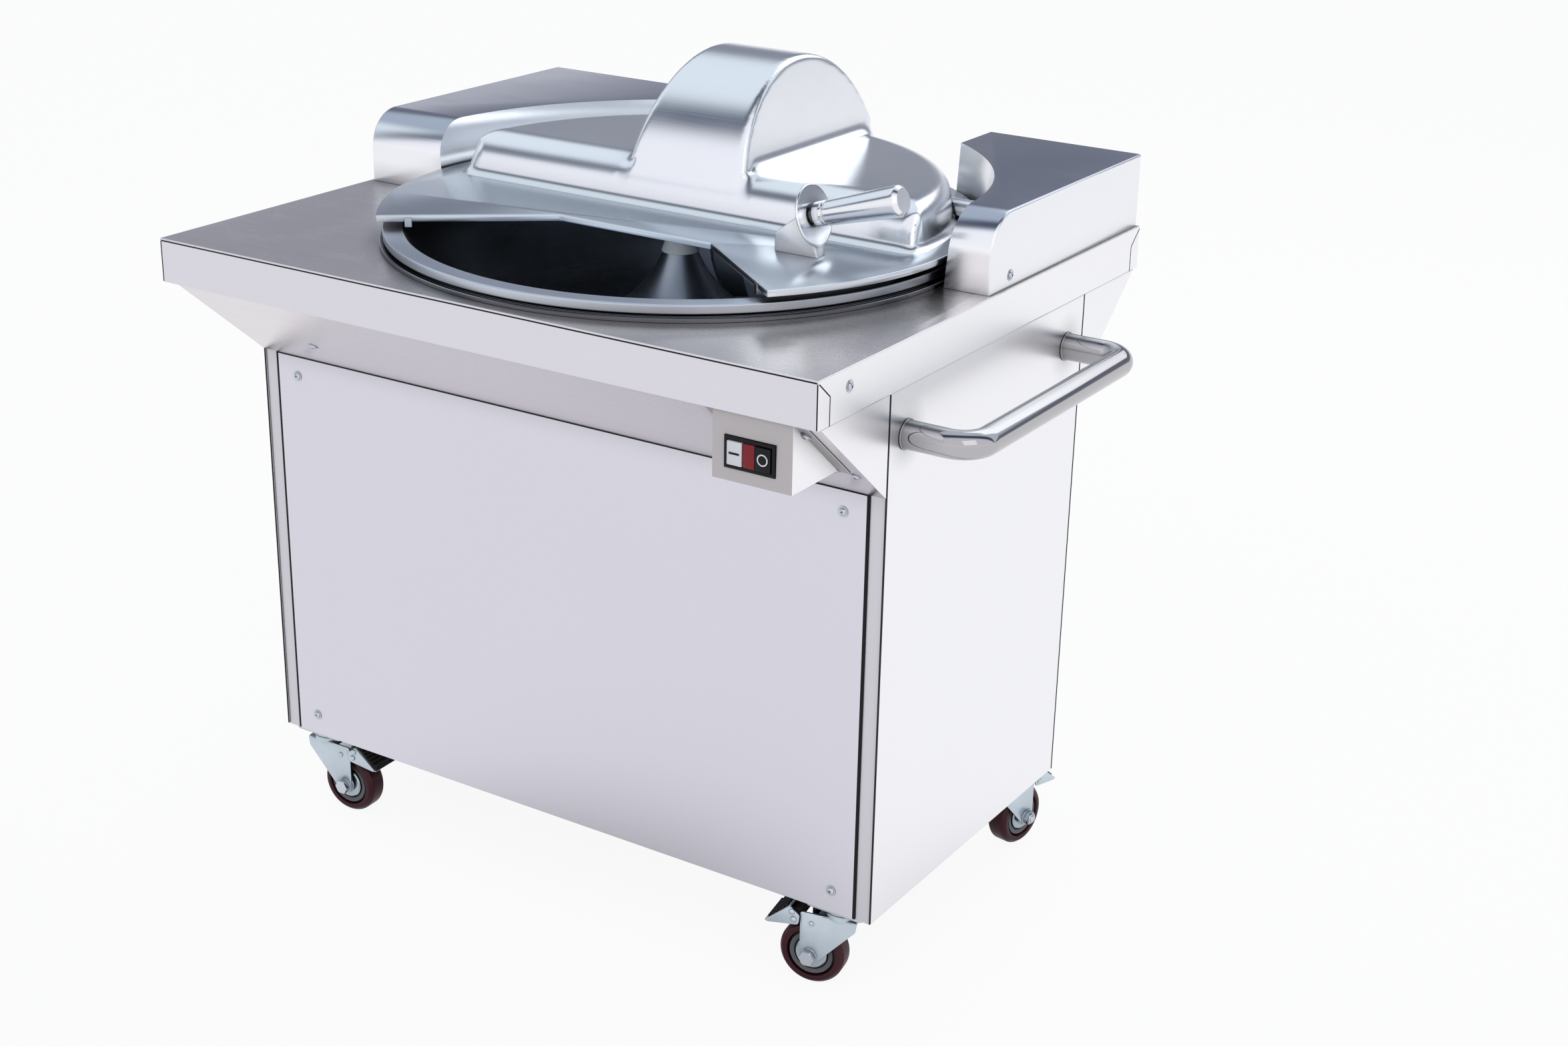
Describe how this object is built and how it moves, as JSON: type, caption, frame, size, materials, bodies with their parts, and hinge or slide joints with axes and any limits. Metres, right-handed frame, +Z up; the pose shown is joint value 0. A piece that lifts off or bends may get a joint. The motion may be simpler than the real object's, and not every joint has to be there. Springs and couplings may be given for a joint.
{
  "type": "meat bowl cutter",
  "caption": "Meat bowl cutter: turning ring-shaped bowl in a worktop, hinged cover with knife dome, belt-driven knives, cabinet on castors with push rail.",
  "frame": {"origin": "on the floor under the middle of the whole machine's outline, push rail included", "axes": "+Z up, the front panel and switch face -Y, the push rail is on +X"},
  "size_m": [0.994, 0.748, 0.9938],
  "materials": {
    "stainless": "fine brushed, satin",
    "panel": "fine brushed, matt",
    "black": "matt moulded",
    "white": "gloss",
    "polished": "mirror polished",
    "cast_aluminium": "brushed and satin polished",
    "nylon": "smooth moulded",
    "iron": "painted casting",
    "steel": "machined",
    "bronze": "machined",
    "knife_steel": "ground and polished",
    "rubber": "matt",
    "zinc": "bluish zinc plate",
    "tyre": "smooth polyurethane"
  },
  "bodies": {
    "cabinet": {"worktop": "stainless", "frame": "stainless", "front_flare": "stainless", "rear_flare": "stainless", "front_panel": "panel", "rear_panel": "panel", "left_panel": "panel", "right_panel": "panel", "switch_box": "stainless", "switch_bezel": "black", "push_handle": "polished", "left_pod": "stainless", "right_pod": "stainless", "bowl_seal_ring": "stainless", "gearbox_housing": "iron", "knife_bearing": "cast_aluminium", "motor": "iron", "knife_belt": "rubber", "bowl_belt": "rubber", "hinge_pin": "steel", "hinge_bracket": "cast_aluminium", "castor_front_left_plate": "zinc", "castor_front_right_plate": "zinc", "castor_rear_right_plate": "zinc", "castor_rear_left_plate": "zinc"},
    "bowl_set": {"bowl": "cast_aluminium", "bowl_cap": "nylon", "bowl_spindle": "steel", "worm_wheel": "bronze"},
    "worm": {"worm_shaft": "steel", "worm_pulley": "iron"},
    "knife_set": {"knife_shaft": "steel", "knife_1": "knife_steel", "knife_2": "knife_steel", "knife_3": "knife_steel", "knife_spacer_1": "steel", "knife_spacer_2": "steel", "knife_nut": "steel", "knife_pulley": "iron"},
    "motor_rotor": {"motor_shaft": "steel", "motor_pulley": "iron"},
    "lid": {"cover": "cast_aluminium", "handle_block": "cast_aluminium", "handle_guard": "polished", "cover_grip": "polished"},
    "start_button": {"on_button": "white"},
    "stop_button": {"off_button": "black"},
    "castor_front_left_swivel": {"castor_front_left_fork": "zinc"},
    "castor_front_left_roller": {"castor_front_left_wheel": "tyre"},
    "castor_front_left_pedal": {"castor_front_left_brake": "zinc"},
    "castor_front_right_swivel": {"castor_front_right_fork": "zinc"},
    "castor_front_right_roller": {"castor_front_right_wheel": "tyre"},
    "castor_front_right_pedal": {"castor_front_right_brake": "zinc"},
    "castor_rear_right_swivel": {"castor_rear_right_fork": "zinc"},
    "castor_rear_right_roller": {"castor_rear_right_wheel": "tyre"},
    "castor_rear_right_pedal": {"castor_rear_right_brake": "zinc"},
    "castor_rear_left_swivel": {"castor_rear_left_fork": "zinc"},
    "castor_rear_left_roller": {"castor_rear_left_wheel": "tyre"},
    "castor_rear_left_pedal": {"castor_rear_left_brake": "zinc"}
  },
  "joints": [
    {"name": "cover_hinge", "type": "hinge", "parent": "cabinet", "child": "lid", "pos_m": [-0.017, 0.3575, 0.8395], "axis": [-1, 0, 0], "range_deg": [0, 75]},
    {"name": "motor_spin", "type": "hinge", "parent": "cabinet", "child": "motor_rotor", "pos_m": [0.288, 0.035, 0.27], "axis": [1, 0, 0], "continuous": true},
    {"name": "knife_spin", "type": "hinge", "parent": "cabinet", "child": "knife_set", "pos_m": [-0.017, 0.156, 0.836], "axis": [1, 0, 0], "continuous": true},
    {"name": "worm_spin", "type": "hinge", "parent": "cabinet", "child": "worm", "pos_m": [-0.017, -0.0672, 0.5855], "axis": [1, 0, 0], "continuous": true},
    {"name": "bowl_spin", "type": "hinge", "parent": "cabinet", "child": "bowl_set", "pos_m": [-0.017, -0.006, 0.5855], "axis": [0, 0, 1], "continuous": true},
    {"name": "on_button_press", "type": "slide", "parent": "cabinet", "child": "start_button", "axis": [0, 1, 0], "range_m": [0, 0.003], "stiffness_N_per_m": 300},
    {"name": "off_button_press", "type": "slide", "parent": "cabinet", "child": "stop_button", "axis": [0, 1, 0], "range_m": [0, 0.003], "stiffness_N_per_m": 300},
    {"name": "castor_front_left_swivel", "type": "hinge", "parent": "cabinet", "child": "castor_front_left_swivel", "pos_m": [-0.436, -0.201, 0.11], "axis": [0, 0, 1], "continuous": true},
    {"name": "castor_front_left_roll", "type": "hinge", "parent": "castor_front_left_swivel", "child": "castor_front_left_roller", "pos_m": [-0.40102, -0.19978, 0.04], "axis": [-0.0349, 0.9994, 0], "continuous": true},
    {"name": "castor_front_left_brake", "type": "hinge", "parent": "castor_front_left_swivel", "child": "castor_front_left_pedal", "pos_m": [-0.38253, -0.19913, 0.0865], "axis": [-0.0349, 0.9994, 0], "range_deg": [0, 18]},
    {"name": "castor_front_right_swivel", "type": "hinge", "parent": "cabinet", "child": "castor_front_right_swivel", "pos_m": [0.352, -0.201, 0.11], "axis": [0, 0, 1], "continuous": true},
    {"name": "castor_front_right_roll", "type": "hinge", "parent": "castor_front_right_swivel", "child": "castor_front_right_roller", "pos_m": [0.31753, -0.20708, 0.04], "axis": [0.1736, -0.9848, 0], "continuous": true},
    {"name": "castor_front_right_brake", "type": "hinge", "parent": "castor_front_right_swivel", "child": "castor_front_right_pedal", "pos_m": [0.29931, -0.21029, 0.0865], "axis": [0.1736, -0.9848, 0], "range_deg": [0, 18]},
    {"name": "castor_rear_right_swivel", "type": "hinge", "parent": "cabinet", "child": "castor_rear_right_swivel", "pos_m": [0.352, 0.184, 0.11], "axis": [0, 0, 1], "continuous": true},
    {"name": "castor_rear_right_roll", "type": "hinge", "parent": "castor_rear_right_swivel", "child": "castor_rear_right_roller", "pos_m": [0.35808, 0.21847, 0.04], "axis": [-0.9848, 0.1736, 0], "continuous": true},
    {"name": "castor_rear_right_brake", "type": "hinge", "parent": "castor_rear_right_swivel", "child": "castor_rear_right_pedal", "pos_m": [0.36129, 0.23669, 0.0865], "axis": [-0.9848, 0.1736, 0], "range_deg": [0, 18]},
    {"name": "castor_rear_left_swivel", "type": "hinge", "parent": "cabinet", "child": "castor_rear_left_swivel", "pos_m": [-0.436, 0.184, 0.11], "axis": [0, 0, 1], "continuous": true},
    {"name": "castor_rear_left_roll", "type": "hinge", "parent": "castor_rear_left_swivel", "child": "castor_rear_left_roller", "pos_m": [-0.40176, 0.17672, 0.04], "axis": [0.2079, 0.9781, 0], "continuous": true},
    {"name": "castor_rear_left_brake", "type": "hinge", "parent": "castor_rear_left_swivel", "child": "castor_rear_left_pedal", "pos_m": [-0.38367, 0.17288, 0.0865], "axis": [0.2079, 0.9781, 0], "range_deg": [0, 18]}
  ],
  "couplings": [
    {"joint": "knife_spin", "follows": "motor_spin", "ratio": 1.303},
    {"joint": "worm_spin", "follows": "motor_spin", "ratio": 0.5},
    {"joint": "bowl_spin", "follows": "motor_spin", "ratio": 0.016667}
  ]
}
